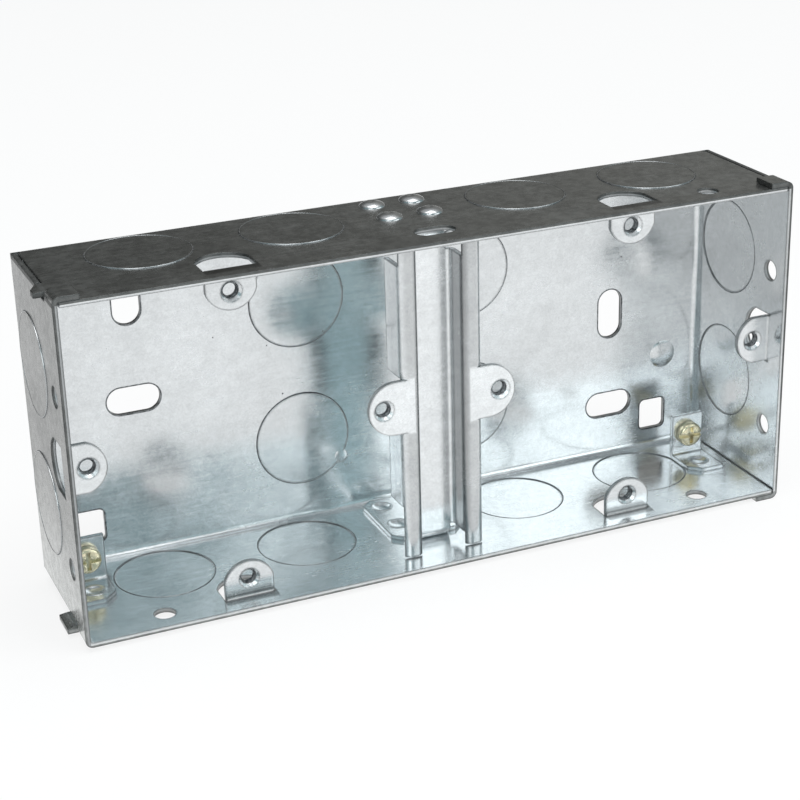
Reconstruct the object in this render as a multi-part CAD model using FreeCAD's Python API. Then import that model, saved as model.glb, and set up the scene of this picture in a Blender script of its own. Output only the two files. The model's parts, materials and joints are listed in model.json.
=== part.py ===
import FreeCAD, Part
import math
import os

# Dual flush back box, folded from one galvanised sheet, with a clinched centre divider
# and two earth terminals.  Millimetres.  While it is drawn, X runs across the box from its
# centre line, Y from the open rim to the back and Z up from the outside of the bottom wall.
# The finished pieces are then moved so that the origin is the middle of the back's outside.

# Standard sizes of the box
GANG = 70.0              # outside height, and the width given to each gang
GANG_PITCH = 86.0        # centre to centre of the two gangs
DEPTH = 35.0             # open rim to outside of back
SHEET = 1.0              # thickness of every sheet piece
BACK_BEND = 1.5          # inside radius of the folds round the back panel
LUG_PITCH = 60.3         # centre to centre of a pair of fixing lugs

# Open corners between the folded walls
CORNER_GAP = 0.3         # long walls end this far from the inside of the end walls
CORNER_RELIEF = 0.7      # radius of the holes where the corner gaps meet the folds
LEFT_WALL_CUT = 2.6      # left end wall ends this far above the outside of the bottom

# Corner tabs that wrap from the end walls over the long walls, and the ears beside them
TAB_LONG = 5.2
TAB_DEEP = 5.8
TAB_BEND = 0.5
TAB_GAP = 0.1
EAR_OUT = 1.7            # ears of the long walls beyond the left end wall
EAR_SET = 1.4            # tab to ear
EAR_TOP_DEEP = 5.2
EAR_TOP_SLOPE = 3.2      # how far the back edge of an ear slopes
EAR_LOW_DEEP = 7.2
EAR_LOW_SLOPE = 0.4
EAR_GAP = 0.4            # ear to the notch of the end wall

# Fixing lugs lanced from the walls
LUG_SET = 5.0            # rim to the front of the lugs
LUG_WIDE = 10.2
LUG_TIP = 3.75           # hole centre to tip
LUG_BEND = 0.5
LANCE_GAP = 0.25
HOLE_RADIUS = 1.5        # tapping size for M3.5
HOLE_MOUTH = 2.2
MOUTH_DEEP = 0.65
COLLAR_WALL = 0.9
COLLAR_LONG = 1.4

# Knockouts
KO_RADIUS = 10.25
KO_STEP = 0.15           # a disc stands out of its sheet, or is sunk into it, by this much
KO_SIDES = 28
KO_FROM_BACK = 13.3      # knockouts of the walls, centre to outside of back
KO_OUTWARD = 12.7        # long wall knockouts from the gang centre
KO_INWARD = 18.4
KO_END_UP = 16.0         # end wall knockouts from mid height
KO_END_DOWN = 13.2
KO_BACK_INWARD = 23.8    # back knockouts inward from the gang centre
KO_BACK_UP = 15.7

# Punched holes of the walls
VENT_RADIUS = 2.2
VENT_SET = 5.3           # rim to hole centre
VENT_LONG = 17.7         # long wall holes outward from the gang centre
VENT_END_UP = 15.2       # end wall holes from mid height
VENT_END_DOWN = 20.3
SIGHT_WIDE = 8.6         # slot in the top wall in front of the divider's web
SIGHT_HIGH = 4.8
SIGHT_SET = 7.4

# Punched holes of the back panel
BACK_SHIFT = -0.75       # the whole pattern, and the terminals, are set off centre by this
SLOT_OUTWARD = 12.2      # from the gang centre
SLOT_LONG = 11.3
SLOT_WIDE = 5.8
SLOT_DROP = 21.9         # spacing of the two slots of a gang
PORT_FROM_END = 11.3     # centre to outside of the end wall
PORT_WIDE = 6.4
PORT_HIGH = 7.2
PORT_CORNER = 1.2
PORT_UP = 8.6
DIMPLE_FROM_END = 8.9
DIMPLE_UP = 22.9
DIMPLE_RADIUS = 3.0
DIMPLE_CREST = 1.0
DIMPLE_HIGH = 0.4

# Centre divider
DIV_HALF = 9.0           # outside of its outer flanges
DIV_CHANNEL = 4.7        # half width of the channel between the ridges
DIV_DEEP = 6.2           # channel depth behind the lug plane
DIV_BEND = 0.8
DIV_END_GAP = 0.3
DIV_NOTCH_TOP = 4.4      # relief of the channel's upper end
DIV_NOTCH_LOW = 1.0
FLANGE_LOW = 12.6        # outer flanges begin this far above the outside of the bottom
FLANGE_TOP = 5.6         # and end this far below the outside of the top
DIV_LUG_HALF = 5.7
DIV_LUG_TIP = 3.3
FOOT_HALF = 8.0          # half width of the feet behind their bend
FOOT_BEND = 1.0
FOOT_CORNER = 2.0

# Clinched fastening points
CLINCH_SIDE = 4.4        # from the centre line
CLINCH_FRONT = 19.6      # rim to the front pair
CLINCH_PITCH = 9.2       # front pair to back pair
CLINCH_RADIUS = 2.3      # button outside the wall
CLINCH_OUT = 0.3
CLINCH_HOLLOW = 1.9      # hollow in the sheet that is clinched to the wall
CLINCH_DEEP = 0.6
PRESS_SIDES = 16         # small round pressings are drawn with this many sides

# Earth terminals
EARTH_WIDE = 7.8
EARTH_CLEAR = 2.8        # side of a terminal to the inside of its end wall
EARTH_TOP = 11.4         # top of its plate above the outside of the bottom
EARTH_FACE = 24.0        # rim to the front of the plate
EARTH_FOOT = 14.6        # rim to the front of the foot
EARTH_BEND = 0.6
EARTH_CORNER = 2.6
EARTH_CLINCH = 19.0      # rim to the clinch of the foot
SCREW_UP = 6.9
SCREW_RADIUS = 1.95
SCREW_FIT = 0.05
SCREW_BACK = 4.0         # shank behind the plate
HEAD_RADIUS = 2.8
HEAD_SIDE = 1.5
HEAD_CROWN = 0.5
HEAD_TOP = 2.5
HEAD_SIDES = 24
SLIT_WIDE = 0.8
SLIT_DEEP = 0.9

# Values that follow from the sizes above
HEIGHT = GANG
WIDTH = GANG + GANG_PITCH
MID_UP = HEIGHT / 2
HALF_WIDE = WIDTH / 2
MID_SHEET = SHEET / 2
# The divider's bends, as far as a ridge has room for two and a flat of half a sheet between them
RIDGE_BEND = min(DIV_BEND, (DIV_HALF - DIV_CHANNEL - MID_SHEET) / 2 - SHEET)
WALL_END = DEPTH - BACK_BEND - SHEET
LUG_IN = (GANG - LUG_PITCH) / 2
LUG_REACH = LUG_IN + LUG_TIP
KO_SET = DEPTH - KO_FROM_BACK
GANGS = (-GANG_PITCH / 2, GANG_PITCH / 2)
EARTH_SIDE = HALF_WIDE - SHEET - EARTH_CLEAR - EARTH_WIDE / 2
EARTHS = (BACK_SHIFT - EARTH_SIDE, BACK_SHIFT + EARTH_SIDE)
CLINCH_ROWS = (CLINCH_FRONT, CLINCH_FRONT + CLINCH_PITCH)
FOOT_CLINCHES = [(side * CLINCH_SIDE, row) for side in (-1, 1) for row in CLINCH_ROWS]
PAST = DEPTH             # how far cutting tools reach past a sheet

O = FreeCAD.Vector(0, 0, 0)
X = FreeCAD.Vector(1, 0, 0)
Y = FreeCAD.Vector(0, 1, 0)
Z = FreeCAD.Vector(0, 0, 1)


def at(x, y, z):
    return FreeCAD.Vector(x, y, z)


def block(x0, x1, y0, y1, z0, z1):
    return Part.makeBox(x1 - x0, y1 - y0, z1 - z0, at(x0, y0, z0))


def rod(radius, start, axis, length):
    return Part.makeCylinder(radius, length, start, axis)


def through(radius, spot, axis):
    return rod(radius, spot - axis * PAST, axis, 2 * PAST)


def pressing(radius, start, axis, length, crest=None, sides=PRESS_SIDES):
    """Round pressing square to X with flat sides, straight or drawn in to the radius crest."""
    across = axis.cross(X)
    turns = [2 * math.pi * step / sides for step in range(sides)]
    spokes = [X * math.cos(turn) + across * math.sin(turn) for turn in turns]
    foot = [start + spoke * radius for spoke in spokes]
    head = [start + axis * length + spoke * (crest or radius) for spoke in spokes]
    panels = [foot, head]
    panels += [[foot[i - 1], foot[i], head[i], head[i - 1]] for i in range(sides)]
    faces = [Part.Face(Part.makePolygon(panel + panel[:1])) for panel in panels]
    return Part.makeSolid(Part.Shell(faces))


def joined(pieces):
    return pieces[0].multiFuse(pieces[1:]).removeSplitter()


def turned(shape, angle):
    """A copy of a shape drawn for the top wall, turned about the box's long axis of depth."""
    copy = shape.copy()
    copy.rotate(at(0, 0, MID_UP), Y, angle)
    return copy


def folded(points, bend, run):
    """Sheet folded square along a path, with inside radius bend, extruded by the vector run.

    The points are the corners of the path of the sheet's middle surface.
    """
    normal = (run * 1).normalize()
    radius = bend + MID_SHEET
    heads = [(b - a).normalize() for a, b in zip(points, points[1:])]
    edges, first_ends, last_ends = [], [], []
    for shift in (-MID_SHEET, MID_SHEET):
        last = points[0] + normal.cross(heads[0]) * shift
        first_ends.append(last)
        for spot, into, out in zip(points[1:], heads, heads[1:]):
            centre = spot + (out - into) * radius
            begin = spot - into * radius + normal.cross(into) * shift
            end = spot + out * radius + normal.cross(out) * shift
            middle = centre + (into - out).normalize() * (begin - centre).Length
            edges.append(Part.makeLine(last, begin))
            edges.append(Part.Arc(begin, middle, end).toShape())
            last = end
        tail = points[-1] + normal.cross(heads[-1]) * shift
        edges.append(Part.makeLine(last, tail))
        last_ends.append(tail)
    edges.append(Part.makeLine(*first_ends))
    edges.append(Part.makeLine(*last_ends))
    section = Part.Face(Part.Wire(Part.sortEdges(edges)[0]))
    return section.extrude(run)


def tongue(half, root, shoulder, tip):
    """Face in the XY plane: straight sides from root to shoulder, then one arc to tip."""
    a, b = at(-half, root, 0), at(half, root, 0)
    c, d = at(half, shoulder, 0), at(-half, shoulder, 0)
    edges = [
        Part.makeLine(a, b),
        Part.makeLine(b, c),
        Part.Arc(c, at(0, tip, 0), d).toShape(),
        Part.makeLine(d, a),
    ]
    return Part.Face(Part.Wire(edges))


def stadium(length, width):
    """Cutter for a slot along X at the origin, with its depth along Z."""
    straight = (length - width) / 2
    ends = [through(width / 2, at(side * straight, 0, 0), Z) for side in (-1, 1)]
    return joined([block(-straight, straight, -width / 2, width / 2, -PAST, PAST)] + ends)


def upright_edges(shape):
    """The edges of a block that run along Z."""
    high = shape.BoundBox.ZLength
    return [edge for edge in shape.Edges if edge.BoundBox.ZLength > high / 2]


def to_back(cutter, x, z):
    """Turns a cutter from along Z to along Y and sets it in the back panel."""
    cutter.rotate(O, X, 90)
    cutter.translate(at(x, DEPTH, z))
    return cutter


def knockout(spot, axis):
    """Step of a knockout disc on the face that axis points out of."""
    return pressing(KO_RADIUS, spot, axis, KO_STEP, sides=KO_SIDES)


def clinch_button(x, y):
    """Button that a clinch leaves outside the top wall."""
    return pressing(CLINCH_RADIUS, at(x, y, HEIGHT), Z, CLINCH_OUT)


def clinch_hollow(x, y):
    """Hollow that a clinch leaves in a foot on the bottom wall."""
    return pressing(CLINCH_HOLLOW, at(x, y, 2 * SHEET), -Z, CLINCH_DEEP)


def with_hole(lug, centre):
    """Adds a drawn collar behind a lug, and its tapped hole with an eased mouth in front."""
    collar = pressing(HOLE_RADIUS + COLLAR_WALL, centre + Y * MID_SHEET, Y, MID_SHEET + COLLAR_LONG)
    mouth = pressing(HOLE_MOUTH, centre, Y, MOUTH_DEEP, HOLE_RADIUS)
    return lug.fuse(collar).cut(through(HOLE_RADIUS, centre, Y).fuse(mouth))


def wall_lug(x, outside):
    """Lug bent in from a top wall at height outside, and the opening that it was cut from."""
    half = LUG_WIDE / 2
    wall, face = outside - MID_SHEET, LUG_SET + MID_SHEET
    corners = [(0, wall), (face, wall), (face, outside - LUG_REACH - SHEET)]
    strip = folded([at(x - half, y, z) for y, z in corners], LUG_BEND, X * LUG_WIDE)
    outline = tongue(half, 0, LUG_IN, LUG_REACH)
    outline.rotate(O, X, -90)
    outline.translate(at(x, 0, outside))
    lug = strip.common(outline.extrude(Y * PAST))
    lug = with_hole(lug, at(x, LUG_SET, outside - LUG_IN))

    far = LUG_SET + LUG_REACH + LANCE_GAP
    opening = tongue(half + LANCE_GAP, LUG_SET - LUG_BEND, far - LUG_TIP, far)
    opening.translate(at(x, 0, outside - SHEET))
    return lug, opening.extrude(Z * SHEET)


def wall_features(outside, lugs, knockouts, proud, vents):
    """What is added to and cut from a wall, drawn as a top wall at height outside.

    Discs that aren't proud of the outside are sunk into the inside.
    """
    adds, cuts = [], []
    for x in lugs:
        lug, opening = wall_lug(x, outside)
        adds.append(lug)
        cuts.append(opening)
    for x in knockouts:
        spot = at(x, KO_SET, outside)
        if proud:
            adds.append(knockout(spot, Z))
        else:
            cuts.append(knockout(spot - Z * SHEET, Z))
    for x in vents:
        cuts.append(rod(VENT_RADIUS, at(x, VENT_SET, outside - SHEET), Z, SHEET))
    return adds, cuts


def left_ear(back, slope):
    """Ear of the top wall beyond the left end wall, from its tab to the depth back."""
    front = TAB_DEEP + EAR_SET
    root, tip = SHEET + CORNER_GAP - HALF_WIDE, -HALF_WIDE - EAR_OUT
    outline = [(root, front), (tip, front), (tip, back - slope), (-HALF_WIDE, back), (root, back)]
    ring = [at(x, y, HEIGHT - SHEET) for x, y in outline + outline[:1]]
    return Part.Face(Part.makePolygon(ring)).extrude(Z * SHEET)


def left_notch(back, high):
    """What the left end wall lacks at its top, from its tab to the depth back."""
    return block(-HALF_WIDE, SHEET - HALF_WIDE, TAB_DEEP, back, HEIGHT - high, HEIGHT)


def long_wall_features():
    """Added and cut shapes of the top wall and of the bottom wall."""
    knockouts = [side * (GANG_PITCH / 2 + reach) for side in (-1, 1) for reach in (KO_OUTWARD, -KO_INWARD)]
    vent = GANG_PITCH / 2 + VENT_LONG
    top_adds, top_cuts = wall_features(HEIGHT, GANGS, knockouts, True, [vent])
    low_adds, low_cuts = wall_features(HEIGHT, GANGS, knockouts, False, [-vent, vent])

    ear_front = TAB_DEEP + EAR_SET
    ear_back = ear_front + EAR_TOP_DEEP
    top_adds.append(left_ear(ear_back, EAR_TOP_SLOPE))
    top_cuts.append(left_notch(ear_back + EAR_GAP, SHEET + EAR_GAP))
    low_adds.append(left_ear(ear_front + EAR_LOW_DEEP, EAR_LOW_SLOPE).mirror(O, X))
    low_cuts.append(left_notch(DEPTH, LEFT_WALL_CUT).mirror(O, X))

    sight = stadium(SIGHT_WIDE, SIGHT_HIGH)
    sight.translate(at(0, SIGHT_SET, HEIGHT))
    top_cuts.append(sight.common(block(-GANG, GANG, 0, DEPTH, HEIGHT - SHEET, HEIGHT)))

    top_adds += [clinch_button(x, y) for x, y in FOOT_CLINCHES]
    low_adds += [clinch_button(x, y) for x, y in FOOT_CLINCHES]
    low_adds += [clinch_button(-x, EARTH_CLINCH) for x in EARTHS]
    return (top_adds, top_cuts), (low_adds, low_cuts)


def back_features():
    adds, cuts = [], []
    ko_side = GANG_PITCH / 2 - KO_BACK_INWARD
    slot_side = GANG_PITCH / 2 + SLOT_OUTWARD
    port_side = HALF_WIDE - PORT_FROM_END
    for side in (-1, 1):
        for up in (-KO_BACK_UP, KO_BACK_UP):
            spot = at(BACK_SHIFT + side * ko_side, DEPTH - SHEET, MID_UP + up)
            adds.append(knockout(spot, -Y))
        port = block(-PORT_WIDE / 2, PORT_WIDE / 2, -PORT_HIGH / 2, PORT_HIGH / 2, -PAST, PAST)
        port = port.makeFillet(PORT_CORNER, upright_edges(port))
        cuts.append(to_back(port, BACK_SHIFT + side * port_side, PORT_UP))
        # Each gang has an upright slot above a level one, and the left pair is set higher.
        upper = MID_UP + (SLOT_DROP if side < 0 else 0)
        upright = stadium(SLOT_LONG, SLOT_WIDE)
        upright.rotate(O, Z, 90)
        cuts.append(to_back(upright, BACK_SHIFT + side * slot_side, upper))
        level = stadium(SLOT_LONG, SLOT_WIDE)
        cuts.append(to_back(level, BACK_SHIFT + side * slot_side, upper - SLOT_DROP))
    spot = at(BACK_SHIFT + HALF_WIDE - DIMPLE_FROM_END, DEPTH - SHEET, DIMPLE_UP)
    adds.append(pressing(DIMPLE_RADIUS, spot, -Y, DIMPLE_HIGH, DIMPLE_CREST))
    return adds, cuts


def tray(inset):
    """Filled outline of the box, inset from its outside, with the folds round its back."""
    side, back = HALF_WIDE - inset, DEPTH - inset
    filled = block(-side, side, -inset, back, inset, HEIGHT - inset)
    rear = [edge for edge in filled.Edges if edge.BoundBox.YMin > MID_SHEET]
    level = [edge for edge in rear if edge.BoundBox.XLength > SHEET]
    upright = [edge for edge in rear if edge.BoundBox.ZLength > SHEET]
    fold = BACK_BEND + SHEET - inset
    return filled.makeFillet(fold, level).common(filled.makeFillet(fold, upright))


def corner_tabs(side):
    """End wall's front strip, bent over the long walls, or into the bottom wall at the left."""
    low = MID_SHEET if side < 0 else -TAB_GAP - MID_SHEET
    high = HEIGHT + TAB_GAP + MID_SHEET
    tip, wall = side * (HALF_WIDE - TAB_LONG), side * (HALF_WIDE - MID_SHEET)
    corners = [(tip, low), (wall, low), (wall, high), (tip, high)]
    return folded([at(x, 0, z) for x, z in corners], TAB_BEND, Y * TAB_DEEP)


def folded_shell():
    """Back panel with its four walls, the gaps at their corners, and the corner tabs."""
    inside = HALF_WIDE - SHEET
    cuts = []
    for side in (-1, 1):
        near, far = sorted((side * inside, side * (inside - CORNER_GAP)))
        for low in (0, HEIGHT - SHEET):
            cuts.append(block(near, far, 0, WALL_END, low, low + SHEET))
            cuts.append(rod(CORNER_RELIEF, at((near + far) / 2, WALL_END, low), Z, SHEET))
        near, far = sorted((side * HALF_WIDE, side * (inside - CORNER_GAP)))
        cuts.append(block(near, far, 0, TAB_DEEP, 0, HEIGHT))
    shell = tray(0).cut(tray(SHEET)).cut(Part.makeCompound(cuts))
    return joined([shell, corner_tabs(-1), corner_tabs(1)])


def box_body():
    # A wall drawn as the top one is turned to its place; the right wall's X then points down.
    ends = HALF_WIDE + MID_UP
    top, low = long_wall_features()
    right = wall_features(ends, [0], [-KO_END_UP, KO_END_DOWN], False, [-VENT_END_UP, VENT_END_DOWN])
    left = wall_features(ends, [0], [KO_END_UP, -KO_END_DOWN], True, [VENT_END_UP, -VENT_END_DOWN])
    adds, cuts = back_features()
    for angle, (wall_adds, wall_cuts) in ((0, top), (180, low), (90, right), (-90, left)):
        adds += [turned(shape, angle) for shape in wall_adds]
        cuts += [turned(shape, angle) for shape in wall_cuts]
    shell = folded_shell().cut(Part.makeCompound(cuts))
    return joined([shell] + adds).Solids[0]


def divider_channel():
    """Double-ridge channel with its flanges cut away for the lugs and at both ends."""
    ridge, web = LUG_SET + MID_SHEET, LUG_SET + DIV_DEEP + MID_SHEET
    rear = web + MID_SHEET
    outer, inner = DIV_HALF - MID_SHEET, DIV_CHANNEL + MID_SHEET
    base = SHEET + DIV_END_GAP
    corners = [(outer, rear), (outer, ridge), (inner, ridge), (inner, web)]
    path = [at(-x, y, base) for x, y in corners] + [at(x, y, base) for x, y in reversed(corners)]
    channel = folded(path, RIDGE_BEND, Z * (HEIGHT - 2 * base))

    lip = LUG_SET + SHEET
    flange = DIV_HALF - SHEET - RIDGE_BEND
    web_half = DIV_CHANNEL - RIDGE_BEND
    lance = DIV_LUG_HALF + LANCE_GAP
    foot = 2 * SHEET + FOOT_BEND
    cuts = [block(-web_half, web_half, lip, PAST, 0, foot)]
    cuts.append(block(-web_half, web_half, lip, PAST, HEIGHT - foot, HEIGHT))
    for side in (-1, 1):
        near, far = sorted((side * flange, side * WIDTH))
        cuts.append(block(near, far, lip, PAST, 0, FLANGE_LOW))
        cuts.append(block(near, far, lip, PAST, HEIGHT - FLANGE_TOP, HEIGHT))
        cuts.append(block(near, far, lip, PAST, MID_UP - lance, MID_UP + lance))
        near, far = sorted((side * web_half, side * flange))
        cuts.append(block(near, far, lip, PAST, 0, foot + DIV_NOTCH_LOW))
        cuts.append(block(near, far, lip, PAST, HEIGHT - SHEET - DIV_NOTCH_TOP, HEIGHT))
    return channel.cut(Part.makeCompound(cuts))


def divider_lug(side):
    """Lug in the plane of the ridges, on one side of the divider."""
    hole = GANG_PITCH / 2 - LUG_PITCH / 2
    centre = hole + DIV_LUG_TIP - DIV_LUG_HALF
    root = DIV_HALF - SHEET - RIDGE_BEND
    near, far = sorted((side * root, side * centre))
    blade = block(near, far, LUG_SET, LUG_SET + SHEET, MID_UP - DIV_LUG_HALF, MID_UP + DIV_LUG_HALF)
    tip = rod(DIV_LUG_HALF, at(side * centre, LUG_SET, MID_UP), Y, SHEET)
    near, far = sorted((side * centre, side * HALF_WIDE))
    tip = tip.common(block(near, far, LUG_SET, LUG_SET + SHEET, 0, HEIGHT))
    return with_hole(joined([blade, tip]), at(side * hole, LUG_SET, MID_UP))


def centre_divider():
    web = LUG_SET + DIV_DEEP + MID_SHEET
    narrow = DIV_CHANNEL - RIDGE_BEND
    foot_z = SHEET + MID_SHEET
    bend_end = web + MID_SHEET + FOOT_BEND
    path = [at(-narrow, bend_end + SHEET, foot_z), at(-narrow, web, foot_z)]
    path += [at(-narrow, web, HEIGHT - foot_z), at(-narrow, bend_end + SHEET, HEIGHT - foot_z)]
    web_and_bends = folded(path, FOOT_BEND, X * 2 * narrow)
    foot = block(-FOOT_HALF, FOOT_HALF, bend_end, WALL_END, SHEET, 2 * SHEET)
    foot = foot.makeChamfer(FOOT_CORNER, upright_edges(foot))
    foot = foot.cut(Part.makeCompound([clinch_hollow(x, y) for x, y in FOOT_CLINCHES]))
    feet = [foot, foot.mirror(at(0, 0, MID_UP), Z)]
    lugs = [divider_lug(side) for side in (-1, 1)]
    return joined([divider_channel(), web_and_bends] + feet + lugs).Solids[0]


def earth_bracket(x, way):
    """Angle bracket of an earth terminal; way points from the box's middle to its end wall."""
    half = EARTH_WIDE / 2
    foot, plate = SHEET + MID_SHEET, EARTH_FACE + MID_SHEET
    path = [at(-half, EARTH_FOOT, foot), at(-half, plate, foot), at(-half, plate, EARTH_TOP)]
    angle = folded(path, EARTH_BEND, X * EARTH_WIDE)
    tip = at(-way * half, EARTH_FOOT, SHEET)
    corner = [tip, tip + X * way * EARTH_CORNER, tip + Y * EARTH_CORNER, tip]
    wedge = Part.Face(Part.makePolygon(corner)).extrude(Z * SHEET)
    hole = through(SCREW_RADIUS + SCREW_FIT, at(0, EARTH_FACE, SCREW_UP), Y)
    bracket = angle.cut(Part.makeCompound([wedge, hole, clinch_hollow(0, EARTH_CLINCH)]))
    bracket.translate(at(x, 0, 0))
    return bracket.Solids[0]


def earth_screw(x):
    """Slotted and crossed brass screw with its head against the bracket's plate."""
    face = at(0, EARTH_FACE, SCREW_UP)
    top = EARTH_FACE - HEAD_SIDE - HEAD_CROWN
    screw = joined([
        pressing(HEAD_RADIUS, face, -Y, HEAD_SIDE, sides=HEAD_SIDES),
        pressing(HEAD_RADIUS, face - Y * HEAD_SIDE, -Y, HEAD_CROWN, HEAD_TOP, HEAD_SIDES),
        rod(SCREW_RADIUS, face, Y, SHEET + SCREW_BACK),
    ])
    half, floor = SLIT_WIDE / 2, top + SLIT_DEEP
    slit = block(-HEAD_RADIUS, HEAD_RADIUS, top, floor, SCREW_UP - half, SCREW_UP + half)
    cross = block(-half, half, top, floor, SCREW_UP - HEAD_TOP, SCREW_UP + HEAD_TOP)
    screw = screw.cut(slit.fuse(cross))
    screw.translate(at(x, 0, 0))
    return screw.Solids[0]


left_earth, right_earth = EARTHS
nodes = {
    "box_body": box_body(),
    "centre_divider": centre_divider(),
    "earth_bracket_left": earth_bracket(left_earth, -1),
    "earth_bracket_right": earth_bracket(right_earth, 1),
    "earth_screw_left": earth_screw(left_earth),
    "earth_screw_right": earth_screw(right_earth),
}

os.makedirs("parts", exist_ok=True)
for name, shape in nodes.items():
    shape.translate(at(0, -DEPTH, -MID_UP))
    box = shape.BoundBox
    print(name, shape.ShapeType, shape.isValid(), len(shape.Solids), round(shape.Volume, 1),
          [round(v, 2) for v in (box.XMin, box.XMax, box.YMin, box.YMax, box.ZMin, box.ZMax)])
    shape.exportStep(os.path.join("parts", name + ".step"))
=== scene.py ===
import json
import math

import bmesh
import bpy
from mathutils import Matrix, Vector


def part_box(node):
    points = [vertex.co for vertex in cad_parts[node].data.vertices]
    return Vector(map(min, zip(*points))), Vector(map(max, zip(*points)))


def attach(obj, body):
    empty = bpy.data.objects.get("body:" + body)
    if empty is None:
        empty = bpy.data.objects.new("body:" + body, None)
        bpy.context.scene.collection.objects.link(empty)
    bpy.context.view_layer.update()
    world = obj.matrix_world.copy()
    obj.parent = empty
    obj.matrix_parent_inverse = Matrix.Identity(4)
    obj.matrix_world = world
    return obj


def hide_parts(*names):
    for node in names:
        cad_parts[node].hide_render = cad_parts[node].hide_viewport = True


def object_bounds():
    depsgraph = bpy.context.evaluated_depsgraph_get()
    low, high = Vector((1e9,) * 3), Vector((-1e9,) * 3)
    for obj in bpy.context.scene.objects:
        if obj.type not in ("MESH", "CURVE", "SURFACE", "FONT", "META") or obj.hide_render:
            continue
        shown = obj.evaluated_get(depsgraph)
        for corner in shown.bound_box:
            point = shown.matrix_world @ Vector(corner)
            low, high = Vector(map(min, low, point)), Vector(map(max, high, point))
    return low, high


# Looks of the dual flush back box: galvanised sheet, brass earth screws and soft studio light.
# The frame is in metres; sizes here are named in millimetres and turned with MM.
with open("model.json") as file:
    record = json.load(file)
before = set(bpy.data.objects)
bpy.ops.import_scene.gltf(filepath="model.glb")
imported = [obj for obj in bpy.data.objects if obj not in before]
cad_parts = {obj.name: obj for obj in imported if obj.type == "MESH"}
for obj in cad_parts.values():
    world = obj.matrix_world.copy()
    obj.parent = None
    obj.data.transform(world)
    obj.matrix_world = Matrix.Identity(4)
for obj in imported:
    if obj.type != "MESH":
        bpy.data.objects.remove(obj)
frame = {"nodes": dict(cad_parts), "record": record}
cad_low, cad_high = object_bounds()
nodes = frame["nodes"]
record = frame["record"]
MM = 0.001

UP, DOWN = (0, 0, 1), (0, 0, -1)
LEFT, RIGHT = (-1, 0, 0), (1, 0, 0)
FRONT, REAR = (0, -1, 0), (0, 1, 0)

# Camera, as fitted to the photograph
CAMERA_PLACE = (-145.46, -352.21, 146.62)
CAMERA_YAW = 22.89       # degrees from +Y towards +X
CAMERA_PITCH = 22.49     # degrees down
CAMERA_ROLL = -1.606
CAMERA_FIELD = 23.745    # degrees across the square picture
CAMERA_NEAR = 10.0       # nothing closer is drawn

# Sizes of the box that the added details follow; its origin is the middle of the back's outside
HALF_WIDE = 78.0
HALF_HIGH = 35.0
RIM = -35.0
SHEET = 1.0
HALF_PITCH = 43.0        # gang centres from the middle
BACK_SHIFT = -0.75       # the back's pattern and the terminals are set off centre by this
KO_RADIUS = 10.25
KO_STEP = 0.15           # how far a knockout disc stands out of its sheet
KO_FROM_BACK = 13.3
KO_OUTWARD = 12.7        # long wall knockouts from the gang centre
KO_INWARD = 18.4
KO_END = (16.0, -13.2)   # end wall knockouts from mid height
KO_BACK_INWARD = 23.8    # back knockouts inward from the gang centre
KO_BACK_UP = 15.7
SLOT_OUTWARD = 12.2      # slots of the back outward from the gang centre
SLOT_LONG = 11.3
SLOT_WIDE = 5.8
SLOT_DROP = 21.9         # spacing of the two slots of a gang
PORT_FROM_END = 11.3     # from the outside of the end wall
PORT_UP = 8.6            # from the outside of the bottom wall
PORT_WIDE = 6.4
PORT_HIGH = 7.2
PORT_CORNER = 1.2
DIMPLE_FROM_END = 8.9
DIMPLE_UP = 22.9
TIE_SIDE = -11.5         # uncut tie on the edge of a knockout in the back
TIE_UP = -21.5
LUG_FACE = -30.0
LUG_MOUTH = 0.65         # depth of the eased mouth of a tapped hole
LUG_THROUGH = 2.4
LUG_BORE = 1.5
CLINCH_SIDE = 4.4        # clinches of the divider's feet from the middle
CLINCH_FRONT = 19.6      # from the rim
CLINCH_PITCH = 9.2
EARTH_SIDE = 70.3        # terminals from the middle of the back's pattern
EARTH_CLINCH = 19.0      # from the rim

# Places that follow from these sizes
KO_LONG_REACH = (HALF_PITCH - KO_INWARD, HALF_PITCH + KO_OUTWARD)
LONG_KNOCKOUTS = sorted(side * reach for side in (-1, 1) for reach in KO_LONG_REACH)
KO_BACK_SIDES = [BACK_SHIFT + side * (HALF_PITCH - KO_BACK_INWARD) for side in (-1, 1)]
BACK_KNOCKOUTS = [(across, up) for across in KO_BACK_SIDES for up in (KO_BACK_UP, -KO_BACK_UP)]
CLINCH_ROWS = (RIM + CLINCH_FRONT, RIM + CLINCH_FRONT + CLINCH_PITCH)
CLINCHES = [(side * CLINCH_SIDE, row) for side in (-1, 1) for row in CLINCH_ROWS]
EARTH_CLINCHES = [(BACK_SHIFT + side * EARTH_SIDE, RIM + EARTH_CLINCH) for side in (-1, 1)]
DIMPLE = (BACK_SHIFT + HALF_WIDE - DIMPLE_FROM_END, -SHEET, DIMPLE_UP - HALF_HIGH)
TIE = (TIE_SIDE, -SHEET, TIE_UP)

# Sheared lines round knockouts, and dark lines round slots
SEAM_WIDE = 0.2
SEAM_LIFT = 0.012        # how far the dark line stands clear of its face
SLOT_LINE = 0.28
SLOT_LIFT = 0.015
SLOT_WELD = 0.0005       # points of a slot's line that lie closer are one
BURR = 0.06              # lip beside the line round a knockout
BURR_CREST = 0.7         # height of that lip against BURR
RING_STEPS = 72
CORNER_STEPS = 10

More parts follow.
